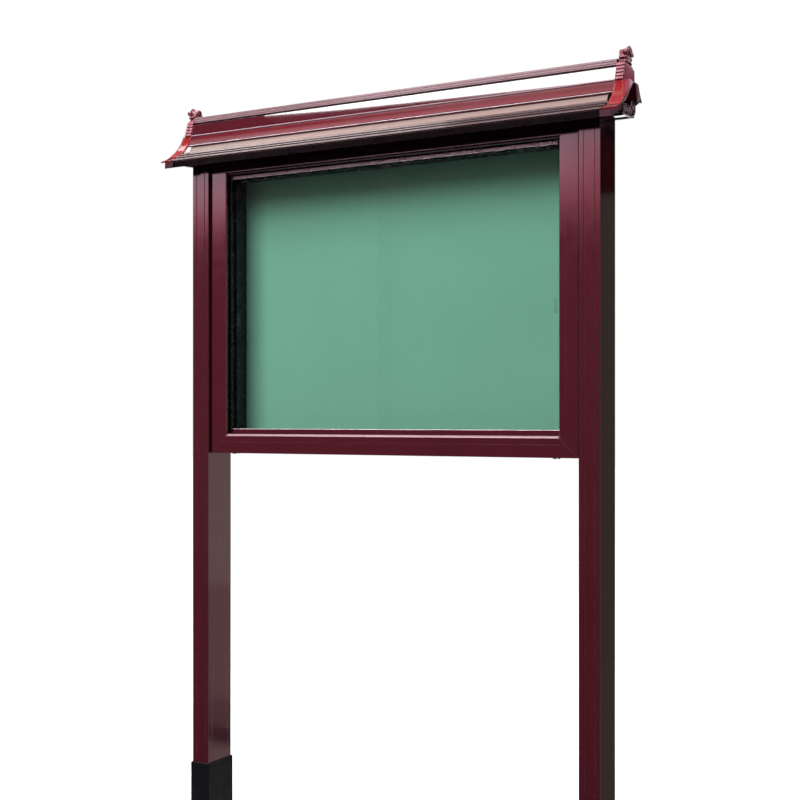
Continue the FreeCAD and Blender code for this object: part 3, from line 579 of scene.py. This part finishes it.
# Nodes that wear another look than their slot's
LOOKS = {
    "ridge_case": "ridge_mirror",
    "eave_plate": "eave_shaded_paint",
    "frieze": "frieze_painted_reflection",
    "upper_course_front": "course_lit_paint",
    "rafters": "gable_painted_shade",
    "gable_panels": "gable_painted_shade",
}


def dress_nodes():
    for entry in frame["record"]["subparts"]:
        piece = nodes[entry["node"]]
        look = LOOKS.get(entry["node"], entry["material_slot"])
        piece.data.materials.clear()
        piece.data.materials.append(MATERIALS[look])


# Detail pieces. Sizes are in millimetres from here on: X along the board, depth back from the
# posts' front, height above the line where the roof starts. Points are in metres, and a skin is
# its points with its faces

ALONG_X = (1, 0, 0)
ALONG_Y = (0, 1, 0)
ALONG_Z = (0, 0, 1)
CREASE = math.radians(38.0)


def mm(x, depth, height):
    """The point at these millimetres."""
    return at(x / 1000, depth / 1000, height / 1000)


def loft(rings):
    """A closed skin over rings of one point count, capped at both ends."""
    points = [point for ring in rings for point in ring]
    count = len(rings[0])
    faces = []
    for start in range(0, len(points) - count, count):
        for index in range(count):
            beside = (index + 1) % count
            faces.append((start + index, start + beside, start + beside + count, start + index + count))
    faces.append(tuple(range(count - 1, -1, -1)))
    faces.append(tuple(range(len(points) - count, len(points))))
    return points, faces


def circle(centre, radius, side, up, sides):
    turns = [2 * math.pi * step / sides for step in range(sides)]
    return [centre + radius * (math.cos(turn) * side + math.sin(turn) * up) for turn in turns]


def tube(path, radius, across, sides=10):
    """A round bead along a path that never runs along the direction across."""
    rings = []
    for index, point in enumerate(path):
        along = (path[min(index + 1, len(path) - 1)] - path[max(index - 1, 0)]).normalized()
        side = along.cross(Vector(across)).normalized()
        rings.append(circle(point, radius / 1000, side, side.cross(along), sides))
    return loft(rings)


def lathe(base, along, profile, sides=32):
    """Rings about an axis, from pairs of distance along it and radius."""
    along = Vector(along).normalized()
    side = along.orthogonal().normalized()
    up = along.cross(side)
    rings = []
    for distance, radius in profile:
        rings.append(circle(base + along * distance / 1000, radius / 1000, side, up, sides))
    return loft(rings)


def curve_spot(before, start, end, after, t):
    """The point part t of the way from start to end, on a smooth curve through all four."""
    bend = 2 * before - 5 * start + 4 * end - after
    twist = 3 * start - before - 3 * end + after
    return 0.5 * (2 * start + (end - before) * t + bend * t ** 2 + twist * t ** 3)


def smooth_outline(points, steps=6):
    """A closed smooth curve through the points."""
    curve = []
    count = len(points)
    for index in range(count):
        around = [Vector(points[(index + shift) % count]) for shift in (-1, 0, 1, 2)]
        curve += [curve_spot(*around, step / steps) for step in range(steps)]
    return curve


def along_points(points, x, steps=5):
    """A smooth open path through points of depth and height."""
    path = []
    padded = [points[0]] + points + [points[-1]]
    for index in range(len(points) - 1):
        around = [Vector(padded[index + shift]) for shift in range(4)]
        path += [mm(x, *curve_spot(*around, step / steps)) for step in range(steps)]
    path.append(mm(x, *points[-1]))
    return path


def slab(outline, x0, x1, edge):
    """A plate across X with both rims rounded over."""
    middle = sum(outline, Vector((0, 0))) / len(outline)
    rings = []
    for x, inset in ((x0, edge), (x0 + 0.3 * edge, 0.3 * edge), (x0 + edge, 0),
                     (x1 - edge, 0), (x1 - 0.3 * edge, 0.3 * edge), (x1, edge)):
        ring = []
        for point in outline:
            inward = middle - point
            ring.append(mm(x, *(point + inward.normalized() * min(inset, inward.length))))
        rings.append(ring)
    return loft(rings)


def spiral(x, depth, height, outer, inner, turns, start=0.0, hand=1, steps=40):
    """A path that winds inward about a point, in the plane across X."""
    path = []
    for step in range(steps + 1):
        part = step / steps
        radius = outer + (inner - outer) * part
        turn = start + hand * 2 * math.pi * turns * part
        path.append(mm(x, depth + radius * math.cos(turn), height + radius * math.sin(turn)))
    return path


def merged(skins):
    points, faces = [], []
    for some_points, some_faces in skins:
        shift = len(points)
        points += some_points
        faces += [tuple(index + shift for index in face) for face in some_faces]
    return points, faces


def mesh_piece(name, skins, slot, look=None, replaced=(), mirrored=False):
    """One piece of the board from closed skins, shaded smooth except at its creases."""
    points, faces = merged(skins)
    if mirrored:
        points = [Vector((-point.x, point.y, point.z)) for point in points]
    mesh = bpy.data.meshes.new(name)
    mesh.from_pydata(points, [], faces)
    build = bmesh.new()
    build.from_mesh(mesh)
    bmesh.ops.recalc_face_normals(build, faces=build.faces)
    build.to_mesh(mesh)
    build.free()
    for polygon in mesh.polygons:
        polygon.use_smooth = True
    mesh.set_sharp_from_angle(angle=CREASE)
    mesh.materials.append(MATERIALS[look or slot])
    piece = bpy.data.objects.new(name, mesh)
    bpy.context.scene.collection.objects.link(piece)
    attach(piece, BOARD)
    if replaced:
        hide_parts(*replaced)


def mesh_pair(name, side, skins, slot, look=None, node=None):
    """A piece for one side of the roof, in place of that side's node if one is named."""
    replaced = (node + "_" + side,) if node else ()
    mesh_piece(name + "_" + side, skins, slot, look, replaced, SIDES[side] < 0)


def straight_bead(name, half, depth, height, radius, slot, look):
    steps = 8
    path = [mm(-half + 2 * half * step / steps, depth, height) for step in range(steps + 1)]
    mesh_piece(name, [tube(path, radius, ALONG_Z, 8)], slot, look)


def strip(name, half, depths, heights, slot, look):
    """A flat strip along the roof with eased edges."""
    (d0, d1), (h0, h1) = depths, heights
    ease = 0.25 * min(d1 - d0, h1 - h0)
    ring = [(d0 + ease, h0), (d1 - ease, h0), (d1, h0 + ease), (d1, h1 - ease),
            (d1 - ease, h1), (d0 + ease, h1), (d0, h1 - ease), (d0, h0 + ease)]
    rings = [[mm(x, *point) for point in ring] for x in (-half, 0, half)]
    mesh_piece(name, [loft(rings)], slot, look)


# Half lengths of the roof, without and with its ends
BODY_HALF = 763.0
EAVE_HALF = 805.0

# Verge strips: an arc from the ridge down to the eaves, with a smooth outer roll and two beads

# Depth and height of the arc's centre, then the heights where a strip starts and ends
VERGE_CENTRE = (-134.4, 159.1)
VERGE_RADIUS = 179.5
VERGE_TOP = 92.0
VERGE_FOOT = -11.5
VERGE_BACK = 50.0
VERGE_THICK = 4.0
VERGE_SINK = 0.1
VERGE_BEAD = 1.3
BEAD_SINK = 0.6
# How far out the flat of a strip reaches: at its top, and how that grows further down
FLAT_TOP = 789.0
FLAT_FLARE = 0.29
FLAT_BEND = 0.0009


def behind(depth):
    """As far behind the ridge as this depth is before it."""
    return 2000 * RIDGE_DEPTH - depth


def verge_angle(height):
    return math.asin((height - VERGE_CENTRE[1]) / VERGE_RADIUS)


def verge_corner(height):
    """Where the flat of a strip ends and its outer roll starts."""
    drop = max(0.0, VERGE_TOP - height)
    return min(EAVE_HALF, FLAT_TOP + FLAT_FLARE * drop - FLAT_BEND * drop * drop)


def verge_place(angle, x, sink, turned):
    reach = VERGE_RADIUS + sink
    depth = VERGE_CENTRE[0] + reach * math.cos(angle)
    if turned:
        depth = behind(depth)
    return mm(x, depth, VERGE_CENTRE[1] + reach * math.sin(angle))


def verge_ring(angle, turned):
    """One section of a strip, as places along X and depths below its arc."""
    corner = verge_corner(VERGE_CENTRE[1] + VERGE_RADIUS * math.sin(angle))
    width = EAVE_HALF - corner
    roll = 0.57 * width + 0.5
    top = [(BODY_HALF, 1.0), (BODY_HALF + 0.8, 0.25), (BODY_HALF + 2, VERGE_SINK)]
    for share in (0.25, 0.5, 0.75, 0.93):
        top.append((BODY_HALF + (corner - BODY_HALF) * share, VERGE_SINK))
    for share in (0.0, 0.18, 0.4, 0.65, 0.86, 1.0):
        top.append((corner + width * share, VERGE_SINK + roll * share ** 1.25))
    under = [(EAVE_HALF, roll + VERGE_THICK), (corner - 2, VERGE_THICK + 0.5), (BODY_HALF, VERGE_THICK)]
    return [verge_place(angle, x, sink, turned) for x, sink in top + under]


def verge_line(x_of, low, high, turned, steps=36):
    path = []
    for step in range(steps + 1):
        height = low + (high - low) * step / steps
        path.append(verge_place(verge_angle(height), x_of(height), BEAD_SINK, turned))
    return path


def verge_skins(low, steps, turned):
    """A strip from the ridge down to a height, with a bead along either edge of its flat."""
    first, last = verge_angle(low), verge_angle(VERGE_TOP)
    rings = [verge_ring(first + (last - first) * step / steps, turned) for step in range(steps + 1)]
    skins = [loft(rings)]
    for x_of in (lambda height: BODY_HALF + 4.5, lambda height: verge_corner(height) - 3.5):
        line = verge_line(x_of, low + 2, VERGE_TOP - 2, turned)
        skins.append(tube(line, VERGE_BEAD, ALONG_X))
    return skins


def make_verges():
    for side, hand in SIDES.items():
        front = "verge_front_" + side
        skins = verge_skins(VERGE_FOOT, 40, False)
        mesh_piece(front + "_dressed", skins, "roof_paint", "verge_red", (front,), hand < 0)
        rear = "verge_rear_%s_dressed" % side
        skins = verge_skins(VERGE_BACK, 14, True)
        mesh_piece(rear, skins, "roof_paint", "verge_red", ("verge_rear",), hand < 0)


# Ridge ends: a core that tapers outward, with flat tiles stepping up both slopes

TIER_COUNT = 5
TIER_FOOT = (27.6, 93.5)
TIER_RISE = 10.9
TIER_STEP = 3.75
TIER_TALL = 8.3
TIER_THICK = 6.0
TIER_EASE = 0.9
TIER_START = BODY_HALF + 0.2
TIER_END = 789.0
# Direction of the tilted face of the ridge case
FACE_SLOPE = Vector((11.5, 33.3)).normalized()
# Foot and head of the core's front face, at its inner and at its outer end
CORE_INNER = [Vector((31, 92)), Vector((52, 148))]
CORE_OUTER = [Vector((77, 94)), Vector((79.5, 124))]
# Places along X, and how far the face has gone there from the inner to the outer end
CORE_STEPS = [(BODY_HALF, 0), (785.5, 0), (787.5, 0.03), (804.0, 0.97), (EAVE_HALF, 1.0)]


def turned_behind(points):
    return [Vector((behind(point.x), point.y)) for point in points]


def tier(number, rear):
    """A tile with a flat face along the slope of the ridge case, eased all round."""
    low = Vector(TIER_FOOT) + number * Vector((TIER_STEP, TIER_RISE))
    high = low + FACE_SLOPE * TIER_TALL
    inward = Vector((FACE_SLOPE.y, -FACE_SLOPE.x))
    outline = [
        low + inward * TIER_THICK, low + inward * TIER_EASE, low + FACE_SLOPE * TIER_EASE,
        high - FACE_SLOPE * TIER_EASE, high + inward * TIER_EASE, high + inward * TIER_THICK,
    ]
    if rear:
        outline = turned_behind(outline)
    return slab(outline, TIER_START, TIER_END, TIER_EASE)


def ridge_core_skins():
    rings = []
    for x, share in CORE_STEPS:
        front = [low + (high - low) * share for low, high in zip(CORE_INNER, CORE_OUTER)]
        ring = front + turned_behind(front)[::-1]
        rings.append([mm(x, *point) for point in ring])
    return [loft(rings)]


def ridge_tile_skins():
    return [tier(number, rear) for number in range(TIER_COUNT) for rear in (False, True)]


# Ridge heads: an upturned roll with a dished end, on a waisted neck with curls

ROLL_TILT = math.radians(14.0)
ROLL_START = 763.5
ROLL_HEIGHT = 178.0
# Distance along the roll and radius
ROLL_PROFILE = [
    (0, 0.3), (0, 10.4), (0.6, 11.6), (2.0, 12.4), (5.0, 12.5), (11.0, 11.4), (19.0, 11.2), (26.0, 12.2),
    (28.4, 13.4), (29.2, 14.2), (30.4, 14.5), (32.0, 14.2), (32.8, 13.4), (32.9, 11.4), (31.6, 10.0),
    (30.2, 9.2), (30.0, 6.6), (31.4, 5.0), (32.4, 2.8), (32.7, 0.3),
]
# Depth and height
NECK = [
    (56, 148), (60.5, 153), (61.5, 160), (60, 166), (61, 174), (66, 181), (81, 183),
    (96, 181), (101, 174), (102, 166), (100.5, 160), (101.5, 153), (106, 148),
]
NECK_START = 766
NECK_END = 790
NECK_EASE = 2.0
# A curl is a turned drum with raised spirals: distance from the ridge, height, where its drum
# starts, the drum's profile, then the spirals' places, outer and inner radius and bead
CURL_TURNS = 1.6
UPPER_CURL = (24, ROLL_HEIGHT, 779.5, [(0, 0.3), (0, 5), (1, 6.2), (12.5, 6.2), (13.5, 5), (13.5, 0.3)],
              (781.0, 786.5, 792.0), 6.9, 1.8, 1.6)
LOWER_CURL = (20, 164, 766.5, [(0, 0.3), (0, 5.2), (1.2, 6.4), (22, 6.4), (23.2, 5.2), (23.2, 0.3)],
              (789.2,), 5.6, 1.4, 1.3)


def curl_skins(hand, away, height, drum_start, profile, spirals, outer, inner, bead):
    depth = 1000 * RIDGE_DEPTH + away * hand
    start = math.pi if hand > 0 else 0.0
    skins = [lathe(mm(drum_start, depth, height), ALONG_X, profile)]
    for x in spirals:
        skins.append(tube(spiral(x, depth, height, outer, inner, CURL_TURNS, start, hand), bead, ALONG_X))
    return skins


def ridge_head_skins():
    outward = (math.cos(ROLL_TILT), 0, math.sin(ROLL_TILT))
    roll_foot = mm(ROLL_START, 1000 * RIDGE_DEPTH, ROLL_HEIGHT)
    skins = [
        slab(smooth_outline(NECK), NECK_START, NECK_END, NECK_EASE),
        lathe(roll_foot, outward, ROLL_PROFILE, 40),
    ]
    for hand in (-1, 1):
        skins += curl_skins(hand, *UPPER_CURL)
        skins += curl_skins(hand, *LOWER_CURL)
    return skins


# Gable carvings: a scrolled board with a raised rim, scrolls and leaves

# Depth and height
CARVING = [
    (20.5, -2), (25, -6), (33, -9), (46, -9), (58, -8.3), (70, -7), (90, -7), (108, -2), (121, 6),
    (128, 16), (128, 30), (127, 41), (120, 49.5), (110, 51.5), (101, 48.5), (96, 44), (90, 32),
    (84, 26), (74, 24), (62, 24), (50, 24), (42, 24), (36, 22), (29, 19), (20.5, 20), (19.5, 9),
]
CARVING_MIDDLE = Vector((76, 12))
CARVING_BACK = 786
CARVING_FACE = 792.2
CARVING_EASE = 1.2
# The raised rim: its place along X, how far in from the outline, bead
RIM_X = 792.6
RIM_INSET = 2.6
RIM_BEAD = 1.5
# Depth, height, outer and inner radius of each scroll, and which way it winds
SCROLLS = [
    (106, 24, 10.5, 2.2, 1), (107, 24, 4.5, 1.0, -1), (112, 41, 6.0, 1.4, 1), (31, 6, 8.0, 1.8, -1),
    (50, 7, 8.5, 1.8, 1), (70, 8, 8.0, 1.6, -1), (87, 8, 7.0, 1.6, 1),
]
SCROLL_X = 793.0
SCROLL_TURNS = 1.7
SCROLL_BEAD = 1.6
# Each scroll starts at its own angle: radians for each millimetre of its depth
SCROLL_START = 0.6
EYE_X = 791.5
EYE = [(0, 2.8), (1.8, 2.6), (2.8, 1.8), (3.2, 0.3)]
# A row of leaves along the middle, highest at its centre and leaning one way and the other
LEAF_X = 792.4
LEAF_COUNT = 9
LEAF_FIRST = 27
LEAF_STEP = 11.0
LEAF_HEIGHT = 17.5
LEAF_LEAN = 0.6
LEAF = [(0, 0.2), (1.5, 1.7), (4.0, 2.3), (7.0, 1.4), (9.0, 0.2)]


def carving_skins():
    outline = smooth_outline(CARVING, 4)
    skins = [slab(outline, CARVING_BACK, CARVING_FACE, CARVING_EASE)]
    rim = []
    for point in outline:
        inward = (CARVING_MIDDLE - point).normalized() * RIM_INSET
        rim.append(mm(RIM_X, *(point + inward)))
    skins.append(tube(rim + rim[:1], RIM_BEAD, ALONG_X))
    for depth, height, outer, inner, hand in SCROLLS:
        path = spiral(SCROLL_X, depth, height, outer, inner, SCROLL_TURNS, SCROLL_START * depth, hand)
        skins.append(tube(path, SCROLL_BEAD, ALONG_X))
        skins.append(lathe(mm(EYE_X, depth, height), ALONG_X, EYE, 16))
    for index in range(LEAF_COUNT):
        depth = LEAF_FIRST + LEAF_STEP * index
        height = LEAF_HEIGHT - abs(index - LEAF_COUNT // 2)
        lean = LEAF_LEAN if index % 2 else -LEAF_LEAN
        skins.append(lathe(mm(LEAF_X, depth, height), (0.05, 0.8, lean), LEAF, 12))
    return skins


# Bargeboards: a front and a rear arm, as depth and height, and a bead along the gable's mouth

FRONT_ARM = [
    (-78.5, -13), (-60, -5), (-38, 6), (-17, 20), (-2, 32), (12, 47), (25.5, 64), (41, 94), (81, 94),
    (81, 91), (70, 88), (56, 75), (38, 56.5), (22, 40), (2, 24), (-18, 12.5), (-40, 2),
]
REAR_ARM = [
    (81, 94), (121, 94), (128, 80), (135, 67), (146, 55), (137, 46), (119, 37), (101, 28), (103, 37),
    (104, 46), (98, 67), (92, 88), (81, 91),
]
# The front arm wears a pink painted reflection and the rear arm a darker painted shade, on one paint
ARMS = {"front": (FRONT_ARM, "flange_painted_reflection"), "rear": (REAR_ARM, "gable_painted_shade")}
ARM_INNER = 800.1
ARM_OUTER = 804.8
ARM_EASE = 0.6
MOUTH = [(-60, -5.5), (-40, 2.6), (-18, 12.6), (4, 24.5), (22, 40), (38, 56), (56, 74), (70, 87.2)]
MOUTH_X = 803.2
MOUTH_BEAD = 1.6


def make_roof_ends():
    for side in SIDES:
        mesh_pair("ridge_end_core", side, ridge_core_skins(), "ornament_paint", "core_painted_reflection", "ridge_end")
        mesh_pair("ridge_end_tiles", side, ridge_tile_skins(), "ornament_paint", "tile_painted_reflection")
        for arm, (outline, look) in ARMS.items():
            skin = slab([Vector(point) for point in outline], ARM_INNER, ARM_OUTER, ARM_EASE)
            mesh_pair("bargeboard_" + arm, side, [skin], "roof_paint", look, "bargeboard")
        mesh_pair("ridge_head_curls", side, ridge_head_skins(), "ornament_paint", None, "ridge_head")
        mesh_pair("gable_scrolls", side, carving_skins(), "ornament_paint", "carving_dark", "gable_carving")
        mouth = tube(along_points(MOUTH, MOUTH_X), MOUTH_BEAD, ALONG_X)
        mesh_pair("mouth_bead", side, [mouth], "roof_paint")


# Screws of the back panel: a domed head with a socket. Their places are in metres

SCREW_PROFILE = [
    (-3.0, 2.4), (0.0, 2.4), (0.0, 4.5), (0.9, 4.4), (1.7, 3.9), (2.2, 3.0), (2.35, 2.2), (2.3, 1.7),
    (1.2, 1.5), (1.1, 0.2),
]
# How far in from the frame's outer edges the screws stand
SCREW_INSET = 0.049
SCREWS_ACROSS = (-0.5, -0.25, 0.0, 0.25, 0.5)
SCREWS_UP = (1.7, 2.004, 2.308)


def screw_skins():
    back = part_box("back_panel")[1][1]
    spots = [(x, z) for x in SCREWS_ACROSS for z in (FRAME_LOW + SCREW_INSET, FRAME_HIGH - SCREW_INSET)]
    spots += [(x, z) for x in (-FRAME_HALF + SCREW_INSET, FRAME_HALF - SCREW_INSET) for z in SCREWS_UP]
    return [lathe(Vector((x, back, z)), ALONG_Y, SCREW_PROFILE, 24) for x, z in spots]


# Long trim: near-black strips and beads as painted shadow lines, and bright metal beads for highlight lines

TRIM_HALF = BODY_HALF - 0.5
# Near-black strips as painted shadow lines under the ridge bar and under the tilted case: depths, heights
STRIPS = {
    "bar_shadow_strip_front": ((51.2, 54.0), (133.5, 140.2)),
    "bar_shadow_strip_rear": ((108.0, 110.8), (133.5, 140.2)),
    "case_shadow_strip": ((30.6, 33.3), (87.9, 91.4)),
}
# Bright bead for a highlight line and near-black bead for a painted shadow line along the upper course:
# depth, height, radius
COURSE_BEAD = (12.0, 54.6, 1.3)
COURSE_SHADOW_LINE = (13.2, 57.6, 0.9)
# The eave plate's upper edge, and the direction down its slope
EAVE_TOP = (4.0, 30.0)
EAVE_DOWN = (-0.8933, -0.4494)
# Near-black beads on the eave plate as painted shadow lines: distance down the slope, radius
EAVE_SHADOW_LINES = [(37.0, 1.5), (67.0, 2.2)]
# Half lengths inside the frame: along its lip, and behind the lip
LIP_HALF = 597
INNER_HALF = 596
# Bright metal beads, taken as bare metal edges, that give the highlight lines of the top rail, of the
# divider in its track and of the sill: depth, then metres below the frame's top or above its foot
RAIL_DEPTH = 12.3
RAIL_DROP = 0.0553
DIVIDER_DEPTH = 33.4
DIVIDER_DROP = 0.0768
SILL_DEPTH = 34.2
SILL_RISE = 0.081
# The rounded lip of the bottom rail, with a pale skin over it as a painted highlight: where it starts above
# the frame's foot, depth of its centre, outer and inner radius of the skin, and the degrees that the skin
# covers
LIP_START = 55.5
LIP_CENTRE = 21.0
LIP_OUTER = 9.3
LIP_INNER = 8.4
LIP_DEGREES = range(14, 75, 6)


def make_roof_trim():
    for name, (depths, heights) in STRIPS.items():
        strip(name, TRIM_HALF, depths, heights, "roof_dark", "shadow_line_dark")
    straight_bead("course_bead", TRIM_HALF, *COURSE_BEAD, "roof_paint", "highlight_bead_metal")
    straight_bead("course_shadow_line", TRIM_HALF, *COURSE_SHADOW_LINE, "roof_dark", "shadow_line_dark")
    for number, (distance, radius) in enumerate(EAVE_SHADOW_LINES):
        depth, height = (top + distance * down for top, down in zip(EAVE_TOP, EAVE_DOWN))
        name = "eave_shadow_line_%d" % number
        straight_bead(name, TRIM_HALF, depth, height, radius, "roof_dark", "shadow_line_dark")


def above_roof_line(z):
    """Millimetres above the line where the roof starts, from metres above the ground."""
    return (z - BASE) * 1000


def lip_skin():
    """A thin pale skin over the lip: a painted highlight where the rail catches the sky."""
    start = above_roof_line(FRAME_LOW) + LIP_START
    turns = [math.radians(turn) for turn in LIP_DEGREES]
    outline = []
    for reach, part in ((LIP_OUTER, turns), (LIP_INNER, turns[::-1])):
        for turn in part:
            outline.append(Vector((LIP_CENTRE - reach * math.cos(turn), start + reach * math.sin(turn))))
    return slab(outline, -LIP_HALF, LIP_HALF, 0.2)


def frame_line(name, half, depth, z, radius):
    """A bright metal bead along the frame that gives a highlight line, at a height above the ground in
    metres.
    """
    straight_bead(name, half, depth, above_roof_line(z), radius, "door_metal", "highlight_bead_metal")


def make_frame_trim():
    frame_line("rail_line", LIP_HALF, RAIL_DEPTH, FRAME_HIGH - RAIL_DROP, 0.8)
    frame_line("divider_line", INNER_HALF, DIVIDER_DEPTH, FRAME_HIGH - DIVIDER_DROP, 0.8)
    mesh_piece("lip_glint", [lip_skin()], "frame_paint", "lip_painted_highlight")
    frame_line("sill_line", INNER_HALF, SILL_DEPTH, FRAME_LOW + SILL_RISE, 1.0)


def make_details():
    make_verges()
    make_roof_ends()
    mesh_piece("screw_heads", screw_skins(), "galvanised", None, ("back_screws",))
    make_roof_trim()
    make_frame_trim()


make_camera()
make_world()
make_floor()
make_lights()
dress_nodes()
make_details()
